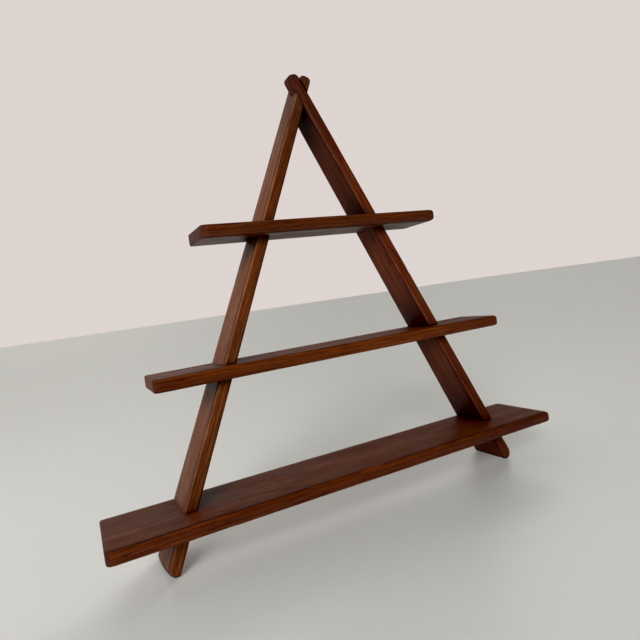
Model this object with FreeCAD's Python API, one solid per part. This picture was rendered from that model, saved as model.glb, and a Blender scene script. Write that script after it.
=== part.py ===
"""A-shaped display shelf: five teak boards locked together by halving joints.

Frame: +X to the right, +Y to the back, +Z up, millimetres. The origin lies on the
surface the feet stand on, under the middle of the bottom shelf.
"""
import FreeCAD
import Part

import math
import os

V = FreeCAD.Vector

# Board stock
THICKNESS = 15.0
ARRIS = 3.0
FIT_GAP = 0.1

# Shelves: length, depth, height of the middle plane, sideways place of the middle
SHELVES = {
    "shelf_bottom": (600.0, 97.0, 56.0, 0.0),
    "shelf_middle": (481.5, 70.0, 204.0, 10.25),
    "shelf_top": (321.5, 66.0, 360.5, 4.25),
}
SHELF_FRONT_CORNER = 7.5
SHELF_BACK_CORNER = 3.5

# Every board is flush at the back
BACK_Y = SHELVES["shelf_bottom"][1] / 2

# Uprights: their middle lines cross at CROSSING_Z above CROSSING_X
CROSSING_X = 3.0
CROSSING_Z = 528.5
LEAN = 0.46
FOOT_DEPTH = 62.0
CROSSING_DEPTH = 39.0
FOOT_CORNERS = (4.0, 6.0)

# How far each upright runs on past the crossing, and how its end is shaped.
# A pair of corner radii gives the inner one first.
TONGUE_DEPTH = 16.0
END_REACH = {"upright_left": 23.3, "upright_right": 24.7}
END_TILT = {"upright_left": 0.0, "upright_right": 8.0}
END_CORNERS = {"upright_left": (5.5, 6.5), "upright_right": (5.5, 7.0)}

SIDE = {"upright_left": 1.0, "upright_right": -1.0}
ANGLE = math.atan(LEAN)
HALF = THICKNESS / 2
BEYOND = 200.0


def upright_point(name, along, across):
    """Point in the X-Z plane, measured from the crossing: up the board, then to its right."""
    side = SIDE[name]
    x = CROSSING_X + side * along * math.sin(ANGLE) + across * math.cos(ANGLE)
    z = CROSSING_Z + along * math.cos(ANGLE) - side * across * math.sin(ANGLE)
    return V(x, 0, z)


def upright_depth(z):
    """Depth of an upright at a height: it tapers evenly from the foot to the crossing."""
    return FOOT_DEPTH + (CROSSING_DEPTH - FOOT_DEPTH) * z / CROSSING_Z


def rounded_face(corners, radii):
    """Flat face whose corners are rounded, each by its own radius."""
    edges = []
    ends = []
    for i, corner in enumerate(corners):
        to_last = (corners[i - 1] - corner).normalize()
        to_next = (corners[(i + 1) % len(corners)] - corner).normalize()
        half_angle = to_last.getAngle(to_next) / 2
        run = radii[i] / math.tan(half_angle)
        middle = corner + (to_last + to_next).normalize() * (radii[i] / math.sin(half_angle) - radii[i])
        start = corner + to_last * run
        end = corner + to_next * run
        edges.append(Part.Arc(start, middle, end).toShape())
        ends.append((start, end))
    for i in range(len(corners)):
        edges.append(Part.LineSegment(ends[i - 1][1], ends[i][0]).toShape())
    return Part.Face(Part.Wire(Part.__sortEdges__(edges)))


def soften(solid, direction):
    """Round every edge that doesn't run along the given direction."""
    outline = []
    for edge in solid.Edges:
        run = edge.Vertexes[-1].Point - edge.Vertexes[0].Point
        if abs(run.normalize().dot(direction)) < 0.9:
            outline.append(edge)
    return solid.makeFillet(ARRIS, outline)


def upright_outline(name):
    """Front view of an upright: level foot, long straight sides, rounded top end."""
    reach = END_REACH[name]
    drop = HALF * math.tan(math.radians(END_TILT[name]))
    side = SIDE[name]
    outer_end = upright_point(name, reach - drop, -side * HALF)
    inner_end = upright_point(name, reach + drop, side * HALF)
    foot_x = CROSSING_X - side * CROSSING_Z * LEAN
    half_foot = HALF / math.cos(ANGLE)
    inner_foot = V(foot_x + side * half_foot, 0, 0)
    outer_foot = V(foot_x - side * half_foot, 0, 0)
    corners = [inner_foot, outer_foot, outer_end, inner_end]
    return rounded_face(corners, [*FOOT_CORNERS, *reversed(END_CORNERS[name])])


def taper_block():
    """Everything behind the sloping front faces of the uprights."""
    top = CROSSING_Z + BEYOND
    points = [
        V(0, BACK_Y, 0),
        V(0, BACK_Y - FOOT_DEPTH, 0),
        V(0, BACK_Y - upright_depth(top), top),
        V(0, BACK_Y, top),
    ]
    face = Part.Face(Part.makePolygon(points + points[:1]))
    face.translate(V(-2 * BEYOND, 0, 0))
    return face.extrude(V(4 * BEYOND, 0, 0))


def upright_blank(name):
    """An upright before any joint is cut in it."""
    board = upright_outline(name).extrude(V(0, FOOT_DEPTH, 0))
    board.translate(V(0, BACK_Y - FOOT_DEPTH, 0))
    return soften(board.common(taper_block()).Solids[0], V(0, 1, 0))


def strip(name, first_across, last_across, front_y, back_y):
    """Straight block along the line of an upright, between two distances across it."""
    corners = [
        upright_point(name, -4 * BEYOND, first_across),
        upright_point(name, BEYOND, first_across),
        upright_point(name, BEYOND, last_across),
        upright_point(name, -4 * BEYOND, last_across),
    ]
    block = Part.Face(Part.makePolygon(corners + corners[:1])).extrude(V(0, back_y - front_y, 0))
    block.translate(V(0, front_y, 0))
    return block


def shelf_blank(name):
    """A shelf board before its slots are cut."""
    length, depth, height, shift = SHELVES[name]
    left = shift - length / 2
    right = shift + length / 2
    bottom = height - HALF
    corners = [
        V(left, BACK_Y, bottom),
        V(left, BACK_Y - depth, bottom),
        V(right, BACK_Y - depth, bottom),
        V(right, BACK_Y, bottom),
    ]
    radii = [SHELF_BACK_CORNER, SHELF_FRONT_CORNER, SHELF_FRONT_CORNER, SHELF_BACK_CORNER]
    return soften(rounded_face(corners, radii).extrude(V(0, 0, THICKNESS)), V(0, 0, 1))


def halving_y(height):
    """Depth at which a shelf's slot and an upright's notch meet: half of the upright."""
    return BACK_Y - upright_depth(height) / 2


def shelf(name):
    """A shelf with a slot from the back for each upright."""
    height = SHELVES[name][2]
    board = shelf_blank(name)
    for upright_name in SIDE:
        slot = strip(upright_name, -HALF - FIT_GAP, HALF + FIT_GAP, halving_y(height), BACK_Y + BEYOND)
        board = board.cut(slot)
    return board.Solids[0]


def cut_shelf_notches(board):
    """Cut one level notch from the front for each shelf."""
    for _, _, height, _ in SHELVES.values():
        notch = Part.makeBox(4 * BEYOND, 2 * BEYOND, THICKNESS + 2 * FIT_GAP)
        notch.translate(V(-2 * BEYOND, halving_y(height) - 2 * BEYOND, height - HALF - FIT_GAP))
        board = board.cut(notch)
    return board


def upright_left():
    """Left board: a notch in its front, near the top, holds the right board's tongue."""
    front_y = BACK_Y - upright_depth(CROSSING_Z)
    notch = strip("upright_right", -HALF - FIT_GAP, HALF + FIT_GAP, -BEYOND, front_y + TONGUE_DEPTH)
    return cut_shelf_notches(upright_blank("upright_left")).cut(notch).Solids[0]


def upright_right():
    """Right board: its top end is a tongue, thinned from the back, over the left board."""
    tongue_back = BACK_Y - upright_depth(CROSSING_Z) + TONGUE_DEPTH - FIT_GAP
    lap = strip("upright_left", -BEYOND, HALF + FIT_GAP, tongue_back, BACK_Y + BEYOND)
    return cut_shelf_notches(upright_blank("upright_right")).cut(lap).Solids[0]


def main():
    """Write one STEP file for each board."""
    os.makedirs("parts", exist_ok=True)
    boards = {name: shelf(name) for name in SHELVES}
    boards["upright_left"] = upright_left()
    boards["upright_right"] = upright_right()
    for name, board in boards.items():
        box = board.optimalBoundingBox()
        print(name, board.isValid(), round(board.Volume / 1000, 1), "cm3",
              [round(v, 1) for v in (box.XMin, box.XMax, box.YMin, box.YMax, box.ZMin, box.ZMax)])
        board.exportStep("parts/" + name + ".step")


main()
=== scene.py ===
"""Looks of an A-shaped teak display shelf: five hand-finished boards on a pale floor."""
import math
import random
from collections import namedtuple
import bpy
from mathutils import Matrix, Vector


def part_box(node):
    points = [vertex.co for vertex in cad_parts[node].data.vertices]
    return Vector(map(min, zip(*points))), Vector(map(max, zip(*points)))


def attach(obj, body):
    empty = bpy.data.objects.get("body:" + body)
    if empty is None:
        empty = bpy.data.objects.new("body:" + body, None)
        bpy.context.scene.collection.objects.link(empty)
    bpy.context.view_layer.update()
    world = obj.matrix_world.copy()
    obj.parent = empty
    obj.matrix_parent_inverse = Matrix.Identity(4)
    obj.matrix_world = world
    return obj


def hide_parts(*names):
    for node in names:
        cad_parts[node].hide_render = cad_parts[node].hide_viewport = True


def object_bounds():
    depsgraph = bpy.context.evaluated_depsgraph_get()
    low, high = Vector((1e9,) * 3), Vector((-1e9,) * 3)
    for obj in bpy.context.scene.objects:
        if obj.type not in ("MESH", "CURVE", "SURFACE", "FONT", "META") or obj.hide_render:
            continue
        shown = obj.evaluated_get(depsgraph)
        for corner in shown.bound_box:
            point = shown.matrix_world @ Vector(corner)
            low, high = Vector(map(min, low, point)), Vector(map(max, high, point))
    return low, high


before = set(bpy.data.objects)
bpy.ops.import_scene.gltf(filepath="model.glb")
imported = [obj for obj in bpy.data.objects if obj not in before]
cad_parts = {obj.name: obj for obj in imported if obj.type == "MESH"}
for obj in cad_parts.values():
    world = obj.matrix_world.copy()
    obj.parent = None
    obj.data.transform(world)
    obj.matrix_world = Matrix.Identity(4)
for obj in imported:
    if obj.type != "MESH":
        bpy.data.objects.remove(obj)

from types import SimpleNamespace

import bmesh
import bpy
from mathutils import Matrix, Vector, noise

CAD_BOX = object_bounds()

# Driving sizes of the design, in metres
LEAN = 0.46
ANGLE = math.atan(LEAN)
CROSSING_X = 0.003
CROSSING_Z = 0.5285
FOOT_DEPTH = 0.062
CROSSING_DEPTH = 0.039
TONGUE_DEPTH = 0.016
FOOT_ALONG = -CROSSING_Z / math.cos(ANGLE)
END_REACH = {"upright_left": 0.0233, "upright_right": 0.0247}
END_TILT = {"upright_left": 0.0, "upright_right": math.radians(8)}
END_CORNERS = {"upright_left": (0.0055, 0.0065), "upright_right": (0.0055, 0.007)}
INNER_FOOT_CORNER = 0.004
OUTER_FOOT_CORNER = {"front": 0.0095, "back": 0.004}
SIDE = {"upright_left": 1, "upright_right": -1}
SHELVES = ("shelf_bottom", "shelf_middle", "shelf_top")

# Rounded edges as a hand plane and sandpaper leave them. A shelf's front has two: the one
# underneath, then the upper one. The right ends of the shelves are rounder than the left.
SHELF_FRONT_ARRISES = {
    "shelf_bottom": (0.0030, 0.0050),
    "shelf_middle": (0.0030, 0.0042),
    "shelf_top": (0.0048, 0.0024),
}
LEFT_FRONT_ARRIS = 0.0033
RIGHT_FRONT_ARRIS = 0.0024
BACK_ARRIS = 0.0024
LEFT_END_ARRIS = 0.0022
RIGHT_END_ARRIS = 0.0090
MOST_END_ARRIS = 0.0066
FOOT_ARRIS = 0.0035
TOP_ARRIS = 0.0030
FRONT_CORNER = 0.0075
BACK_CORNER = 0.003
LEAST_RADIUS = 0.0003
JOINT_GAP = 0.0003

# Read from the frame
SHELF_BOX = {name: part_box(name) for name in SHELVES}
BACK_Y = CAD_BOX[1].y
THICKNESS = SHELF_BOX["shelf_bottom"][1].z - SHELF_BOX["shelf_bottom"][0].z
HALF = THICKNESS / 2

# Mesh spacing: along a board, in its rounded ends, round an arris, and the number of
# spaces across the two pairs of sides
STEP = 0.0025
END_STEPS = 7
ARRIS_STEPS = 6
SHELF_SPACES = (18, 4)
UPRIGHT_SPACES = (4, 12)

# Foot and top: how far up the board its level end is blended in, how far its rings stay
# close together, and how sharply the foot's rounding grows towards the front
END_BLEND = 0.04
FOOT_RUN = 1.5 * OUTER_FOOT_CORNER["front"]
FOOT_POWER = 2.5

# An edge of the mesh that turns more than this is crisp
SHARP = math.radians(35)

# Cutting blocks reach past the boards. Those at the crossing start LAP_REACH below it.
BEYOND = 0.2
FAR = 1.0
LAP_REACH = 0.06

# Unevenness left by hand. The rate is waves per metre. The size is a share of an arris's
# radius, or a depth in metres on a long face. The steps keep seeds and rows apart.
Wave = namedtuple("Wave", "rate size seed_step row_step")
WANDER = Wave(22, 0.16, 7.3, 3.1)
FINE_WANDER = Wave(90, 0.05, 2.9, 5.7)
HOLLOWING = Wave(6, 0.00012, 4.1, 9.2)
SHELF_SEED = 11
UPRIGHT_SEED = 31

# Knocks in each arris: how many, where along it, how wide and how deep
KNOCKS_PER_ARRIS = 3
KNOCK_PLACES = (0.03, 0.97)
KNOCK_WIDTHS = (0.0015, 0.004)
KNOCK_DEPTHS = (0.0003, 0.0009)


# ---------------------------------------------------------------- board shapes

def upright_depth(z):
    """Depth of an upright at a height."""
    return FOOT_DEPTH + (CROSSING_DEPTH - FOOT_DEPTH) * z / CROSSING_Z


def upright_point(name, along, across, y=0.0):
    """Point measured from the crossing: up the board, then to its right."""
    side = SIDE[name]
    x = CROSSING_X + side * along * math.sin(ANGLE) + across * math.cos(ANGLE)
    z = CROSSING_Z + along * math.cos(ANGLE) - side * across * math.sin(ANGLE)
    return Vector((x, y, z))


def halving_y(z):
    """Depth where a shelf's slot and an upright's notch meet."""
    return BACK_Y - upright_depth(z) / 2


def inset(height, radius, slope=0.0):
    """How far a rounded corner draws a side in, at a height above the end's face.

    The slope is how much the side leans outward over the end: sideways run per rise.
    """
    reach = radius * (1 + slope / math.hypot(1, slope))
    if height >= reach:
        return 0.0
    drop = max(0.0, 2 * radius * height - height ** 2)
    return max(0.0, (slope + math.hypot(1, slope)) * radius - math.sqrt(drop) - slope * height)


def stations(length, first_run, last_run):
    """Distances along a board: close together in the rounded ends, even between."""
    shares = [1 - math.cos(math.pi / 2 * i / END_STEPS) for i in range(END_STEPS)]
    first = [first_run * share for share in shares]
    last = [length - last_run * share for share in shares]
    run = length - first_run - last_run
    count = round(run / STEP)
    even = [first_run + run * i / count for i in range(count + 1)]
    return first + even + last[::-1]


def on_circle(a, b, radius, degrees):
    """Point on a circle round (a, b)."""
    angle = math.radians(degrees)
    return (a + radius * math.cos(angle), b + radius * math.sin(angle))


def section(low, high, radii, spaces):
    """Rounded rectangle as a ring of points, from its lowest corner round."""
    (a0, b0), (a1, b1) = low, high
    r0, r1, r2, r3 = radii
    corners = [
        (a0 + r0, b0 + r0, r0, 180),
        (a1 - r1, b0 + r1, r1, 270),
        (a1 - r2, b1 - r2, r2, 0),
        (a0 + r3, b1 - r3, r3, 90),
    ]
    ring = []
    for i, (a, b, radius, start) in enumerate(corners):
        for k in range(ARRIS_STEPS + 1):
            ring.append(on_circle(a, b, radius, start + 90 * k / ARRIS_STEPS))
        here = ring[-1]
        there = on_circle(*corners[(i + 1) % 4])
        count = spaces[i % 2]
        for k in range(1, count):
            t = k / count
            ring.append((here[0] + (there[0] - here[0]) * t, here[1] + (there[1] - here[1]) * t))
    return ring


class Hand:
    """Small unevenness of a hand-finished board, the same on every run."""

    def __init__(self, seed, length):
        self.seed = seed
        dice = random.Random(seed)
        self.knocks = []
        for corner in range(4):
            for _ in range(KNOCKS_PER_ARRIS):
                place = dice.uniform(*KNOCK_PLACES) * length
                width = dice.uniform(*KNOCK_WIDTHS)
                self.knocks.append((corner, place, width, dice.uniform(*KNOCK_DEPTHS)))

    def wave(self, kind, row, u):
        """Smooth noise from -1 to 1 along the board, different for each seed and row."""
        return noise.noise(Vector((u * kind.rate, self.seed * kind.seed_step, row * kind.row_step)))

    def radius(self, corner, u, radius):
        """Radius of one long arris: it wanders, and has a few knocks."""
        wander = WANDER.size * self.wave(WANDER, corner, u)
        fine = FINE_WANDER.size * self.wave(FINE_WANDER, corner, u)
        result = radius * (1 + wander + fine)
        for where, place, width, depth in self.knocks:
            if where == corner:
                result += depth * math.exp(-((u - place) / width) ** 2)
        return result

    def radii(self, u, arrises, shrink):
        """Radii of the four arrises in one section, smaller where the end rounds it off."""
        return [max(LEAST_RADIUS, self.radius(i, u, r) - shrink) for i, r in enumerate(arrises)]

    def draw_in(self, face, u):
        """How far one long face lies inside its flat: at most a quarter of a millimetre."""
        return HOLLOWING.size * (1 + self.wave(HOLLOWING, face, u))


def new_object(name, build):
    """Object made from a finished bmesh."""
    mesh = bpy.data.meshes.new(name)
    build.to_mesh(mesh)
    build.free()
    piece = bpy.data.objects.new(name, mesh)
    bpy.context.scene.collection.objects.link(piece)
    return piece


def loft(name, rings, place):
    """Closed mesh through a list of rings, each vertex put in place by a function."""
    build = bmesh.new()
    loops = [[build.verts.new(place(u, a, b)) for a, b in ring] for u, ring in rings]
    for first, second in zip(loops, loops[1:]):
        for i in range(len(first)):
            j = (i + 1) % len(first)
            build.faces.new((first[i], first[j], second[j], second[i]))
    build.faces.new(loops[0][::-1])
    build.faces.new(loops[-1])
    bmesh.ops.recalc_face_normals(build, faces=build.faces)
    return new_object(name, build)


def prism(build, outline, y_low, y_high):
    """Add a closed block to a mesh: an outline in the X-Z plane, carried along Y."""
    near = [build.verts.new((p.x, y_low, p.z)) for p in outline]
    far = [build.verts.new((p.x, y_high, p.z)) for p in outline]
    build.faces.new(near)
    build.faces.new(far[::-1])
    for i in range(len(outline)):
        j = (i + 1) % len(outline)
        build.faces.new((near[j], near[i], far[i], far[j]))


def cut(piece, blocks):
    """Cut blocks, each (outline, lowest y, highest y), out of a piece."""
    build = bmesh.new()
    for outline, y_low, y_high in blocks:
        prism(build, outline, y_low, y_high)
    bmesh.ops.recalc_face_normals(build, faces=build.faces)
    tool = new_object("tool", build)
    change = piece.modifiers.new("joints", "BOOLEAN")
    change.operation = "DIFFERENCE"
    change.solver = "EXACT"
    change.object = tool
    bpy.context.view_layer.update()
    graph = bpy.context.evaluated_depsgraph_get()
    result = bpy.data.meshes.new_from_object(piece.evaluated_get(graph))
    piece.modifiers.clear()
    rough = piece.data
    piece.data = result
    tool_mesh = tool.data
    bpy.data.objects.remove(tool)
    bpy.data.meshes.remove(tool_mesh)
    bpy.data.meshes.remove(rough)
    result.name = piece.name


def strip_outline(name, first_across, last_across):
    """Outline of a straight strip along an upright."""
    return [
        upright_point(name, -4 * BEYOND, first_across),
        upright_point(name, BEYOND, first_across),
        upright_point(name, BEYOND, last_across),
        upright_point(name, -4 * BEYOND, last_across),
    ]


def outline_above(outline):
    """The part of a strip's outline near the crossing, clear of the other cuts."""
    start, top_a, top_b, _ = outline
    down = (start - top_a).normalized() * (BEYOND + LAP_REACH)
    return [top_a + down, top_a, top_b, top_b + down]


def shelf_ring(name, u, length, hand):
    """Section of a shelf at a distance along it: a is depth and b is height."""
    low, high = SHELF_BOX[name]
    end = min(u, length - u)
    end_arris = LEFT_END_ARRIS if u < length / 2 else RIGHT_END_ARRIS
    shrink = min(MOST_END_ARRIS, inset(end, end_arris))
    front = low.y + inset(end, FRONT_CORNER) + hand.draw_in(0, u)
    back = high.y - inset(end, BACK_CORNER) - hand.draw_in(1, u)
    bottom = low.z + shrink + hand.draw_in(2, u)
    top = high.z - shrink - hand.draw_in(3, u)
    under_arris, upper_arris = SHELF_FRONT_ARRISES[name]
    arrises = (under_arris, BACK_ARRIS, BACK_ARRIS, upper_arris)
    return section((front, bottom), (back, top), hand.radii(u, arrises, shrink), SHELF_SPACES)


def shelf_board(name, seed):
    """A shelf, with a slot from the back for each upright."""
    low, high = SHELF_BOX[name]
    length = high.x - low.x
    hand = Hand(seed, length)
    rings = [(u, shelf_ring(name, u, length, hand)) for u in stations(length, FRONT_CORNER, FRONT_CORNER)]
    piece = loft("board_" + name, rings, lambda u, a, b: (low.x + u, a, b))
    slot_y = halving_y((low.z + high.z) / 2)
    strips = [strip_outline(upright, -HALF - JOINT_GAP, HALF + JOINT_GAP) for upright in SIDE]
    cut(piece, [(outline, slot_y, BACK_Y + BEYOND) for outline in strips])
    return piece


def towards_front(b, front, back):
    """0 at the back of an upright, growing sharply to 1 at its front."""
    return max(0.0, (back - b) / (back - front)) ** FOOT_POWER


def upright_ring(name, u, length, hand):
    """Section of an upright at a distance up it: a is across its thickness and b is depth."""
    inner_end, outer_end = END_CORNERS[name]
    end_slope = math.tan(END_TILT[name])
    over_foot = u * math.cos(ANGLE)
    from_top = length - u
    under_end = from_top * math.cos(END_TILT[name])
    worn = {k: inset(over_foot, r, LEAN) * math.cos(ANGLE) for k, r in OUTER_FOOT_CORNER.items()}
    outer = worn["back"] + inset(under_end, outer_end, -end_slope)
    inner = (inset(over_foot, INNER_FOOT_CORNER, -LEAN) * math.cos(ANGLE)
             + inset(under_end, inner_end, end_slope))
    leans_right = SIDE[name] > 0
    on_left, on_right = (outer, inner) if leans_right else (inner, outer)
    left = -HALF + on_left + hand.draw_in(0, u)
    right = HALF - on_right - hand.draw_in(1, u)
    shrink = inset(over_foot, FOOT_ARRIS) + inset(from_top, TOP_ARRIS)
    depth = upright_depth(CROSSING_Z + (FOOT_ALONG + u) * math.cos(ANGLE))
    front = BACK_Y - depth + shrink + hand.draw_in(2, u)
    back = BACK_Y - shrink - hand.draw_in(3, u)
    arrises = (LEFT_FRONT_ARRIS, RIGHT_FRONT_ARRIS, BACK_ARRIS, BACK_ARRIS)
    ring = section((left, front), (right, back), hand.radii(u, arrises, shrink), UPRIGHT_SPACES)
    squeeze = (worn["front"] - worn["back"]) / (right - left)
    fixed = right if leans_right else left
    return [(a + (fixed - a) * squeeze * towards_front(b, front, back), b) for a, b in ring]


def upright_place(name, length):
    """Function that puts a section's point in place, with a level foot and a tilted end."""
    foot_slope = SIDE[name] * LEAN
    end_slope = SIDE[name] * math.tan(END_TILT[name])

    def place(u, a, b):
        foot_share = max(0.0, 1 - u / END_BLEND)
        end_share = max(0.0, 1 - (length - u) / END_BLEND)
        along = FOOT_ALONG + u + a * (foot_slope * foot_share + end_slope * end_share)
        return upright_point(name, along, a, b)

    return place


def shelf_notch(shelf_name):
    """Block that cuts a shelf's notch into the front of an upright."""
    low, high = SHELF_BOX[shelf_name]
    z_low = low.z - JOINT_GAP
    z_high = high.z + JOINT_GAP
    outline = [Vector((x, 0, z)) for x, z in ((-FAR, z_low), (FAR, z_low), (FAR, z_high), (-FAR, z_high))]
    return (outline, -FAR, halving_y((low.z + high.z) / 2))


def crossing_cut(name):
    """Block that cuts an upright for the crossing: a notch on the left one, a lap on the right."""
    tongue_back = BACK_Y - upright_depth(CROSSING_Z) + TONGUE_DEPTH
    if name == "upright_left":
        outline = strip_outline("upright_right", -HALF - JOINT_GAP, HALF + JOINT_GAP)
        return (outline_above(outline), -FAR, tongue_back)
    outline = strip_outline("upright_left", -BEYOND, HALF + JOINT_GAP)
    return (outline_above(outline), tongue_back, BACK_Y + BEYOND)


def upright_board(name, seed):
    """An upright, notched for the shelves and for the other upright."""
    length = END_REACH[name] - FOOT_ALONG
    hand = Hand(seed, length)
    along = stations(length, FOOT_RUN, max(END_CORNERS[name]))
    rings = [(u, upright_ring(name, u, length, hand)) for u in along]
    piece = loft("board_" + name, rings, upright_place(name, length))
    cut(piece, [shelf_notch(shelf_name) for shelf_name in SHELVES] + [crossing_cut(name)])
    return piece


# ---------------------------------------------------------------- materials

def colour(red, green, blue):
    """Shader colour from linear values."""
    return (red, green, blue, 1.0)


DARK_TEAK = colour(0.054, 0.0115, 0.0042)
MID_TEAK = colour(0.140, 0.0330, 0.0078)
WARM_TEAK = colour(0.235, 0.0680, 0.0135)
# Pale arris colour: partly rubbed wear, partly painted highlight.
RUBBED_AND_LIT_TEAK = colour(0.300, 0.1250, 0.0600)
# Pore colour; also the colour of the painted shade at joints, corners, hollows and right-front roundings.
PORE_AND_SHADE_DARK = colour(0.018, 0.0042, 0.0026)
FLOOR_TONES = (colour(0.66, 0.68, 0.675), colour(0.69, 0.71, 0.705))

# Each board's own colour and finish. The shares say how far its end grain and the line
# beside its arrises darken, and how far its arrises are made pale: partly rubbing wear, partly painted
# highlight on their left-facing side.
Finish = namedtuple("Finish", "tone end_dark line_dark arris_pale gloss")
FINISH = {
    "shelf_bottom": Finish(colour(1.01, 0.94, 1.08), 0.65, 0.60, 0.05, 0.115),
    "shelf_middle": Finish(colour(0.96, 0.90, 0.86), 0.25, 0.60, 0.05, 0.11),
    "shelf_top": Finish(colour(0.93, 0.94, 1.10), 0.95, 0.60, 0.05, 0.15),
    "upright_left": Finish(colour(1.20, 1.36, 1.45), 0.45, 0.85, 0.35, 0.11),
    "upright_right": Finish(colour(0.98, 0.92, 1.35), 0.45, 0.85, 0.20, 0.05),
}

# The colour shifts over the object: (tone, where it starts, where it is full). Places
# are heights in metres, and for the last one distances to the right. Towards the top it is darker;
# low down and towards the right the darkening is painted shade, and under the bottom shelf the
# lightening is painted light. Under the bottom shelf the gloss falls to a share too.
TOP_SHIFT = (colour(0.55, 0.62, 0.95), 0.40, 0.545)
# Painted shade low on the boards.
FOOT_PAINTED_SHADE = (colour(0.78, 0.76, 0.78), 0.20, 0.08)
# Painted light under the bottom shelf, where the shelf shades the feet.
UNDER_SHELF_PAINTED_LIGHT = (colour(1.20, 1.25, 1.40), 0.052, 0.048)
# Painted shade towards the right, away from the light.
RIGHT_PAINTED_SHADE = (colour(0.86, 0.85, 0.97), 0.05, 0.25)
UNDER_GLOSS = 0.45

# Where each board lies in the grain, in millimetres: the first board, and the step to the next
MM_PER_METRE = 1000
SHELF_GRAIN = ((-70.0, 14.0, 0.0), (410.0, -9.0, 3.0))
UPRIGHT_GRAIN = ((1700.0, 22.0, 5.0), (530.0, -40.0, 0.0))

# Each pattern: waves per millimetre along the grain and across it, then the noise's detail,
# roughness and distortion. The floor's clouds are in waves per metre.
WOBBLE = ((0.004, 0.018), 2.0)
BANDS = ((0.0035, 0.055), 3.0, 0.55)
FIBRES = ((0.022, 0.50), 6.0, 0.66)
PORES = ((0.055, 1.15), 3.0, 0.6, 0.15)
RUBBING = ((0.03, 0.12), 3.0, 0.6)
HANDLING = ((0.012, 0.03), 3.0, 0.6)
RIPPLE = ((0.45, 0.06), 2.0)
SPECKLE = ((0.8, 0.8), 3.0, 0.6)
CLOUDS = ((1.5, 1.5), 3.0)

# Where each pattern counts, as fades: (value where it is 0, value where it is 1). Then the
# share of the pores in late wood, and the least share of a mark that comes in patches.
EARLY_RISE = (0.0, 0.12)
EARLY_FALL = (0.95, 0.45)
BAND_FADE = (0.24, 0.76)
FIBRE_FADE = (0.42, 0.64)
PORE_FADE = (0.56, 0.65)
RUB_FADE = (0.54, 0.66)
SPECKLE_FADE = (0.50, 0.62)
HANDLING_FADE = (0.3, 0.7)
LATE_PORES = 0.55
PATCHY = 0.35

# Which way a surface faces, as fades: 0 edge on, 1 square on, and negative away from
# the right or downwards. Arrises lie between.
ROUNDED_FADE = (0.97, 0.80)
LINE_RISE = (0.05, 0.18)
LINE_FALL = (0.62, 0.38)
PALE_RISE = (0.60, 0.80)
PALE_FALL = (0.995, 0.95)
# The pale band keeps to left-facing arrises, where it is partly painted highlight.
LEFTWARD_FADE = (0.05, -0.15)
# Right-front roundings get painted shade, away from the light.
RIGHTWARD_FADE = (0.12, 0.50)
FRONTWARD_FADE = (0.05, 0.20)
DOWNWARD_FADE = (-0.25, -0.38)
END_FADE = (0.6, 0.9)
END_LINE_RISE = (0.25, 0.45)
END_LINE_FALL = (0.92, 0.75)
LINE_PATCHES = (0.68, 0.40)
PALE_PATCHES = (0.38, 0.62)

# Growth rings, in millimetres: how deep their heart lies, how it drifts, how far they wobble
HEART_DEPTH = 46.0
HEART_DRIFT = 0.035
RING_WOBBLE = 26.0
RINGS_PER_MM = 0.21

# How far the surface looks for its neighbours, in metres, and the openness at which each
# darkening is full and at which it ends: a joint's line (partly dirt, partly painted shade), its corner and
# a covered hollow (painted shade)
OPENNESS_SAMPLES = 8
CREVICE_REACH = 0.006
CREVICE_OPEN = (0.35, 0.95)
CORNER_REACH = 0.055
CORNER_OPEN = (0.30, 0.84)
HOLLOW_REACH = 0.09
HOLLOW_OPEN = (0.40, 0.92)

# Heights in metres over which the corners weaken to a share, and the hollows end
CORNER_HEIGHTS = (0.046, 0.052)
LOW_CORNER_SHARE = 0.35
HOLLOW_HEIGHTS = (0.048, 0.056)

# How far each mark covers the colour under it
MID_SHARE = 0.5
EARLY_SHARE = 0.42
FIBRE_SHARE = 0.72
PORE_SHARE = 0.82
RUB_SHARE = 0.30
# Share of the painted shade on the right-front roundings.
RIGHT_ARRIS_SHADE_SHARE = 0.70
END_LINE_SHARE = 0.50
SPECKLE_SHARE = 0.60
# The joint line is partly dirt and partly painted shade; the corner and hollow darkening is painted shade.
CREVICE_DIRT_AND_SHADE_SHARE = 0.90
CORNER_SHADE_SHARE = 0.85
HOLLOW_SHADE_SHARE = 0.85

# Roughness of the oiled face, and what pores, end grain and rubbing do to it
ROUGHNESS = (0.36, 0.50)
PORE_ROUGHNESS = 0.18
END_ROUGHNESS = 0.12
RUB_SMOOTHING = 0.06

# Relief: share of each pattern, then the depth of the whole in metres
FIBRE_RELIEF = 0.35
HANDLING_RELIEF = 0.8
RIPPLE_RELIEF = 0.9
RELIEF_STRENGTH = 0.28
RELIEF_DEPTH = 0.00035
WOOD_IOR = 1.5
FLOOR_ROUGHNESS = 0.32
FLOOR_IOR = 1.45


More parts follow.
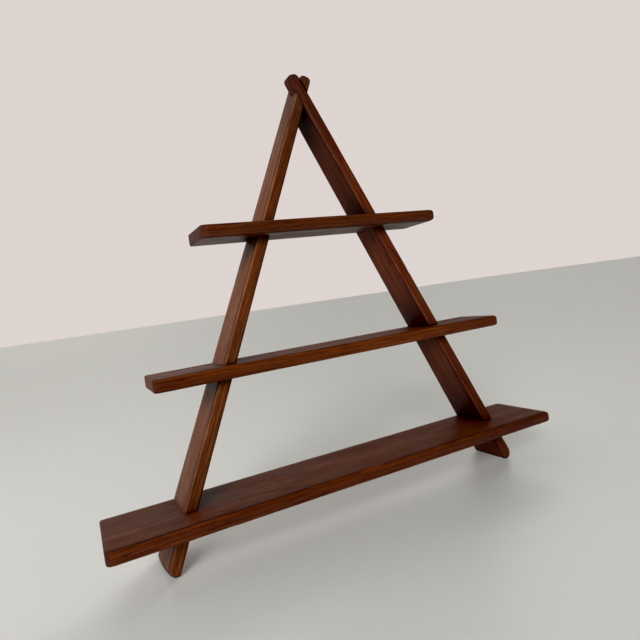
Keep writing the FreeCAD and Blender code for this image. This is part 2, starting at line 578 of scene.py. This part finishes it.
class Nodes:
    """Short way to write a node tree. A value is a socket or a constant."""

    def __init__(self, owner):
        owner.use_nodes = True
        self.tree = owner.node_tree
        self.tree.nodes.clear()

    def feed(self, socket, value):
        """Link a socket into an input, or set the input's constant."""
        if isinstance(value, bpy.types.NodeSocket):
            self.tree.links.new(value, socket)
        else:
            socket.default_value = value

    def add(self, kind, inputs=None, **settings):
        """Node of a kind, with its settings and its inputs by name or number."""
        node = self.tree.nodes.new(kind)
        for key, value in settings.items():
            setattr(node, key, value)
        for key, value in (inputs or {}).items():
            self.feed(node.inputs[key], value)
        return node

    def math(self, operation, *values, clamp=False):
        """One step of arithmetic."""
        node = self.add("ShaderNodeMath", dict(enumerate(values)), operation=operation, use_clamp=clamp)
        return node.outputs[0]

    def times(self, first, second):
        """Product of two values."""
        return self.math("MULTIPLY", first, second)

    def plus(self, first, second):
        """Sum of two values."""
        return self.math("ADD", first, second)

    def split(self, vector):
        """The three parts of a vector."""
        return self.add("ShaderNodeSeparateXYZ", {0: vector}).outputs[:3]

    def fade(self, value, low, high, to_low=0.0, to_high=1.0):
        """Smooth step from one number to another while a value goes from low to high."""
        inputs = {"Value": value, "From Min": low, "From Max": high, "To Min": to_low, "To Max": to_high}
        return self.add("ShaderNodeMapRange", inputs, interpolation_type="SMOOTHSTEP").outputs["Result"]

    def between(self, value, rise, fall):
        """1 where a value lies between two fades, each (where it is 0, where it is 1)."""
        return self.times(self.fade(value, *rise), self.fade(value, *fall))

    def mix(self, share, first, second, blend="MIX"):
        """Second colour over the first, by a share."""
        node = self.add("ShaderNodeMix", data_type="RGBA", blend_type=blend)
        self.feed(node.inputs[0], share)
        self.feed(node.inputs[6], first)
        self.feed(node.inputs[7], second)
        return node.outputs[2]

    def tint(self, share, base, tone):
        """Colour multiplied by a tone, by a share."""
        return self.mix(share, base, self.mix(1.0, base, tone, "MULTIPLY"))

    def noise(self, vector, waves, detail=2.0, roughness=0.5, distortion=0.0):
        """Noise that is stretched along the first axis: waves are per unit, along and across."""
        along, across = waves
        scale = (along, across, across)
        stretched = self.add("ShaderNodeVectorMath", {0: vector, 1: scale}, operation="MULTIPLY").outputs[0]
        inputs = {"Vector": stretched, "Scale": 1.0, "Detail": detail, "Roughness": roughness,
                  "Distortion": distortion}
        return self.add("ShaderNodeTexNoise", inputs).outputs["Fac"]

    def openness(self, reach):
        """1 where nothing stands within reach of the surface, less where something does."""
        node = self.add("ShaderNodeAmbientOcclusion", {"Distance": reach}, samples=OPENNESS_SAMPLES)
        return node.outputs["AO"]


def wood_pattern(n, grain):
    """Growth rings, long colour bands, fibres and pores."""
    wobble = n.noise(grain, *WOBBLE)
    along, across, down = n.split(grain)
    over = n.plus(across, n.times(along, HEART_DRIFT))
    under = n.plus(down, HEART_DEPTH)
    radius = n.math("SQRT", n.plus(n.times(over, over), n.times(under, under)))
    radius = n.plus(radius, n.times(wobble, RING_WOBBLE))
    ring = n.math("FRACT", n.times(radius, RINGS_PER_MM))
    early = n.between(ring, EARLY_RISE, EARLY_FALL)
    bands = n.noise(grain, *BANDS)
    fibres = n.noise(grain, *FIBRES)
    pores = n.fade(n.noise(grain, *PORES), *PORE_FADE)
    pores = n.times(pores, n.fade(early, 0.0, 1.0, LATE_PORES, 1.0))
    return SimpleNamespace(early=early, bands=bands, fibres=fibres, pores=pores)


def edge_marks(n, grain, normal, turn):
    """Arris marks: rubbing wear, a dark line, a pale band that is partly wear and partly painted highlight
    on left-facing arrises, and painted shade on right-front roundings; then the end grain. Facing is 1
    where the surface is square on.
    """
    own_normal = n.add("ShaderNodeVectorRotate", {"Vector": normal, "Angle": turn}, rotation_type="Y_AXIS")
    size = n.add("ShaderNodeVectorMath", {0: own_normal.outputs[0]}, operation="ABSOLUTE").outputs[0]
    to_end, to_front, to_side = n.split(size)
    to_right = n.split(normal)[0]

    flatness = n.math("MAXIMUM", n.math("MAXIMUM", to_end, to_front), to_side)
    patches = n.noise(grain, *RUBBING)
    rub = n.times(n.fade(flatness, *ROUNDED_FADE), n.fade(patches, *RUB_FADE))

    line = n.between(to_front, LINE_RISE, LINE_FALL)
    line = n.times(line, n.fade(patches, *LINE_PATCHES, PATCHY, 1.0))
    # Pale band on left-facing arrises: partly rubbing wear, partly painted highlight.
    pale = n.between(to_front, PALE_RISE, PALE_FALL)
    pale = n.times(pale, n.fade(patches, *PALE_PATCHES, PATCHY, 1.0))
    pale = n.times(pale, n.fade(to_right, *LEFTWARD_FADE))
    # Painted shade on the right-front roundings, away from the light.
    right_arris_shade = n.times(n.fade(to_right, *RIGHTWARD_FADE), n.fade(to_front, *FRONTWARD_FADE))

    end_grain = n.fade(to_end, *END_FADE)
    end_line = n.between(to_end, END_LINE_RISE, END_LINE_FALL)
    speckle = n.times(n.fade(n.noise(grain, *SPECKLE), *SPECKLE_FADE), end_grain)
    return SimpleNamespace(rub=rub, line=line, pale=pale, right_arris_shade=right_arris_shade,
                           end_grain=end_grain, end_line=end_line, speckle=speckle)


def joint_dirt_and_shade(n, normal, height):
    """Darkening in the joints, partly dirt and partly painted shade, and painted shade in their corners and
    in the hollows under the shelves.
    """
    up = n.split(normal)[2]
    # The joints' dark line: partly dirt, partly painted shade.
    crevice_dirt_and_shade = n.fade(n.openness(CREVICE_REACH), *CREVICE_OPEN)
    crevice_dirt_and_shade = n.fade(crevice_dirt_and_shade, 0.0, 1.0, CREVICE_DIRT_AND_SHADE_SHARE, 0.0)
    # Painted shade in the inside corners, weaker low down.
    corner = n.fade(n.openness(CORNER_REACH), *CORNER_OPEN, CORNER_SHADE_SHARE, 0.0)
    corner = n.times(corner, n.fade(height, *CORNER_HEIGHTS, LOW_CORNER_SHARE, 1.0))
    # Painted shade on downward faces in the hollows under the shelves.
    hollow_shade = n.fade(n.openness(HOLLOW_REACH), *HOLLOW_OPEN, HOLLOW_SHADE_SHARE, 0.0)
    hollow_shade = n.times(hollow_shade, n.fade(up, *DOWNWARD_FADE))
    hollow_shade = n.times(hollow_shade, n.fade(height, *HOLLOW_HEIGHTS))
    return crevice_dirt_and_shade, corner, hollow_shade


def teak_colour(n, wood, edges, joints, finish):
    """Base colour: the wood, then its marks, each over the last."""
    base = n.mix(n.fade(wood.bands, *BAND_FADE), DARK_TEAK, WARM_TEAK)
    base = n.mix(MID_SHARE, base, MID_TEAK)
    base = n.mix(n.times(wood.early, EARLY_SHARE), base, DARK_TEAK)
    base = n.mix(n.fade(wood.fibres, *FIBRE_FADE, 0.0, FIBRE_SHARE), base, DARK_TEAK)
    base = n.mix(n.times(wood.pores, PORE_SHARE), base, PORE_AND_SHADE_DARK)
    base = n.mix(n.times(edges.rub, RUB_SHARE), base, WARM_TEAK)
    # Pale arrises: partly rubbing wear, partly painted highlight on the left-facing side.
    base = n.mix(n.times(edges.pale, finish.arris_pale), base, RUBBED_AND_LIT_TEAK)
    base = n.mix(n.times(edges.line, finish.line_dark), base, PORE_AND_SHADE_DARK)
    # Painted shade on the right-front roundings.
    base = n.mix(n.times(edges.right_arris_shade, RIGHT_ARRIS_SHADE_SHARE), base, PORE_AND_SHADE_DARK)
    base = n.mix(n.times(edges.end_grain, finish.end_dark), base, DARK_TEAK)
    base = n.mix(n.times(edges.end_line, END_LINE_SHARE), base, PORE_AND_SHADE_DARK)
    base = n.mix(n.times(edges.speckle, SPECKLE_SHARE), base, PORE_AND_SHADE_DARK)
    # Joint line, corner and hollow marks: painted shade, the joint line partly dirt.
    for mark in joints:
        base = n.mix(mark, base, PORE_AND_SHADE_DARK)
    return base


def teak_tones(n, base, across, height, finish):
    """The board's own tone, then shifts over the object: darker at the top, painted shade low down and to
    the right, painted light under the bottom shelf.
    """
    base = n.mix(1.0, base, finish.tone, "MULTIPLY")
    for tone, start, full in (TOP_SHIFT, FOOT_PAINTED_SHADE, UNDER_SHELF_PAINTED_LIGHT):
        base = n.tint(n.fade(height, start, full), base, tone)
    tone, start, full = RIGHT_PAINTED_SHADE
    return n.tint(n.fade(across, start, full), base, tone)


def teak_roughness(n, wood, edges, handling):
    """Satin where it is handled, duller in pores and end grain."""
    rough = n.fade(handling, *HANDLING_FADE, *ROUGHNESS)
    rough = n.plus(rough, n.times(wood.pores, PORE_ROUGHNESS))
    rough = n.plus(rough, n.times(edges.end_grain, END_ROUGHNESS))
    return n.math("SUBTRACT", rough, n.times(edges.rub, RUB_SMOOTHING), clamp=True)


def teak_relief(n, grain, wood, handling):
    """Fine relief: fibres, sunken pores, and the slight ripple that a plane leaves."""
    relief = n.plus(n.times(wood.fibres, FIBRE_RELIEF), n.times(wood.pores, -1.0))
    relief = n.plus(relief, n.times(handling, HANDLING_RELIEF))
    relief = n.plus(relief, n.times(n.noise(grain, *RIPPLE), RIPPLE_RELIEF))
    inputs = {"Height": relief, "Strength": RELIEF_STRENGTH, "Distance": RELIEF_DEPTH}
    return n.add("ShaderNodeBump", inputs).outputs[0]


def teak(name, turn, shift, finish):
    """Oiled teak whose grain runs along one board. The grain's own space is in millimetres."""
    material = bpy.data.materials.new(name)
    n = Nodes(material)
    place = n.add("ShaderNodeTexCoord").outputs["Object"]
    normal = n.add("ShaderNodeNewGeometry").outputs["Normal"]
    grain = n.add("ShaderNodeMapping", {"Vector": place, "Location": shift, "Rotation": (0, turn, 0),
                                        "Scale": (MM_PER_METRE,) * 3}).outputs[0]
    across, _, height = n.split(place)
    wood = wood_pattern(n, grain)
    edges = edge_marks(n, grain, normal, turn)
    base = teak_colour(n, wood, edges, joint_dirt_and_shade(n, normal, height), finish)
    handling = n.noise(grain, *HANDLING)
    # Heights of the painted light under the bottom shelf; the gloss drops there too.
    under_shelf = n.fade(height, *UNDER_SHELF_PAINTED_LIGHT[1:])
    shader = n.add("ShaderNodeBsdfPrincipled", {
        "Base Color": teak_tones(n, base, across, height, finish),
        "Roughness": teak_roughness(n, wood, edges, handling),
        "Normal": teak_relief(n, grain, wood, handling),
        "IOR": WOOD_IOR,
        "Specular IOR Level": n.times(n.fade(under_shelf, 0.0, 1.0, 1.0, UNDER_GLOSS), finish.gloss),
    })
    n.add("ShaderNodeOutputMaterial", {"Surface": shader.outputs[0]})
    return material


def floor_paint():
    """Pale satin floor."""
    material = bpy.data.materials.new("floor_paint")
    n = Nodes(material)
    place = n.add("ShaderNodeTexCoord").outputs["Object"]
    base = n.mix(n.noise(place, *CLOUDS), *FLOOR_TONES)
    inputs = {"Base Color": base, "Roughness": FLOOR_ROUGHNESS, "IOR": FLOOR_IOR}
    shader = n.add("ShaderNodeBsdfPrincipled", inputs)
    n.add("ShaderNodeOutputMaterial", {"Surface": shader.outputs[0]})
    return material


# ---------------------------------------------------------------- the boards

def shade(piece):
    """Smooth faces, with crisp edges where a joint was cut."""
    mesh = piece.data
    mesh.polygons.foreach_set("use_smooth", [True] * len(mesh.polygons))
    mesh.set_sharp_from_angle(angle=SHARP)


def dress(piece, node, material):
    """Give a board its shading, material and body, and hide the frame's part."""
    shade(piece)
    piece.data.materials.clear()
    piece.data.materials.append(material)
    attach(piece, "root")
    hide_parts(node)


def grain_shift(grain, index):
    """Where a board lies in the grain."""
    first, step = grain
    return tuple(a + b * index for a, b in zip(first, step))


def make_shelves():
    """The three shelves, their grain level."""
    for index, name in enumerate(SHELVES):
        wood = teak("teak_" + name, 0.0, grain_shift(SHELF_GRAIN, index), FINISH[name])
        dress(shelf_board(name, SHELF_SEED + index), name, wood)


def make_uprights():
    """The two uprights, their grain along the lean."""
    for index, name in enumerate(SIDE):
        turn = math.pi / 2 - SIDE[name] * ANGLE
        wood = teak("teak_" + name, turn, grain_shift(UPRIGHT_GRAIN, index), FINISH[name])
        dress(upright_board(name, UPRIGHT_SEED + index), name, wood)


# ---------------------------------------------------------------- floor, light and camera

FLOOR_REACH = 30.0

# Camera: place, then its turn to the right, its tilt down and its roll
CAMERA_PLACE = (-0.2953, -0.5653, 0.2720)
CAMERA_TURN = math.radians(25.836)
CAMERA_TILT = math.radians(2.562)
CAMERA_ROLL = math.radians(8.093)
SENSOR_WIDTH = 36.0
FOCAL_LENGTH = 28.6
CLIP_START = 0.02

DAYLIGHT_TINT = (1.0, 0.97, 0.93)
DAYLIGHT_SPREAD = math.radians(28)
DAYLIGHT_PLACE = (-1.22, -1.36, 0.84)
DAYLIGHT = 3.0
BACK_FILL_PLACE = (1.0, 0.9, 0.3)
BACK_FILL = 2.0
SIDE_PLACE = (-1.35, 0.1, 0.7)
SIDE_TARGET = (-0.1, 0, 0.15)
SIDE_SIZE = 1.0
SIDE_WATTS = 5.0

# Surroundings: the plain tone that is seen, the light from the front and from the back, and
# the directions over which it changes to the back and weakens to the right
SEEN_TONE = colour(0.73, 0.66, 0.635)
FRONT_LIGHT = colour(0.05, 0.045, 0.04)
BACK_LIGHT = colour(0.61, 0.575, 0.53)
BACK_FADE = (-0.25, 0.45)
RIGHT_FADE = (0.0, 0.55)
RIGHT_SHARE = 0.45
BLACK_LEVEL = 0.004


def make_floor():
    """A wide pale floor, with no edge near the shelf."""
    reach = FLOOR_REACH
    corners = ((-reach, -reach, 0), (reach, -reach, 0), (reach, reach, 0), (-reach, reach, 0))
    build = bmesh.new()
    build.faces.new([build.verts.new(corner) for corner in corners])
    floor = new_object("floor", build)
    floor.data.materials.append(floor_paint())


def aim(lamp, place, target):
    """Put a lamp at a place, pointing at a target."""
    lamp.location = place
    lamp.rotation_euler = (Vector(target) - Vector(place)).to_track_quat("-Z", "Y").to_euler()
    bpy.context.scene.collection.objects.link(lamp)


def make_sun(name, energy, place):
    """Broad even daylight from a direction. It makes no hard glints."""
    data = bpy.data.lights.new(name, "SUN")
    data.energy = energy
    data.angle = DAYLIGHT_SPREAD
    data.color = DAYLIGHT_TINT
    lamp = bpy.data.objects.new(name, data)
    lamp.visible_glossy = False
    aim(lamp, place, (0, 0, 0))


def make_side_light():
    """Soft lamp on the left, which makes that side brighter."""
    data = bpy.data.lights.new("side", "AREA")
    data.shape = "DISK"
    data.size = SIDE_SIZE
    data.energy = SIDE_WATTS
    data.color = DAYLIGHT_TINT
    aim(bpy.data.objects.new("side", data), SIDE_PLACE, SIDE_TARGET)


def make_world():
    """Pale surroundings: a plain tone is seen, and more light comes from the back and the left."""
    world = bpy.data.worlds.new("studio")
    bpy.context.scene.world = world
    n = Nodes(world)
    to_right, to_back, _ = n.split(n.add("ShaderNodeTexCoord").outputs["Generated"])
    tone = n.mix(n.fade(to_back, *BACK_FADE), FRONT_LIGHT, BACK_LIGHT)
    strength = n.fade(to_right, *RIGHT_FADE, 1.0, RIGHT_SHARE)
    lit = n.add("ShaderNodeBackground", {"Color": tone, "Strength": strength}).outputs[0]
    seen = n.add("ShaderNodeBackground", {"Color": SEEN_TONE}).outputs[0]
    by_camera = n.add("ShaderNodeLightPath").outputs["Is Camera Ray"]
    both = n.add("ShaderNodeMixShader", {0: by_camera, 1: lit, 2: seen}).outputs[0]
    n.add("ShaderNodeOutputWorld", {"Surface": both})


def set_tone():
    """Plain colour, with the blacks a little deeper."""
    view = bpy.context.scene.view_settings
    view.view_transform = "Standard"
    view.use_curve_mapping = True
    view.curve_mapping.black_level = (BLACK_LEVEL,) * 3
    view.curve_mapping.update()


def make_camera():
    """Camera a little to the left, at half the shelf's height, turned and rolled towards it."""
    data = bpy.data.cameras.new("camera")
    data.sensor_width = SENSOR_WIDTH
    data.lens = FOCAL_LENGTH
    data.clip_start = CLIP_START
    camera = bpy.data.objects.new("camera", data)
    turn = Matrix.Rotation(-CAMERA_TURN, 4, "Z")
    tilt = Matrix.Rotation(math.pi / 2 - CAMERA_TILT, 4, "X")
    roll = Matrix.Rotation(-CAMERA_ROLL, 4, "Z")
    camera.matrix_world = Matrix.Translation(CAMERA_PLACE) @ turn @ tilt @ roll
    bpy.context.scene.collection.objects.link(camera)
    bpy.context.scene.camera = camera


make_shelves()
make_uprights()
make_floor()
make_sun("daylight", DAYLIGHT, DAYLIGHT_PLACE)
make_side_light()
make_sun("back_fill", BACK_FILL, BACK_FILL_PLACE)
make_world()
make_camera()
set_tone()
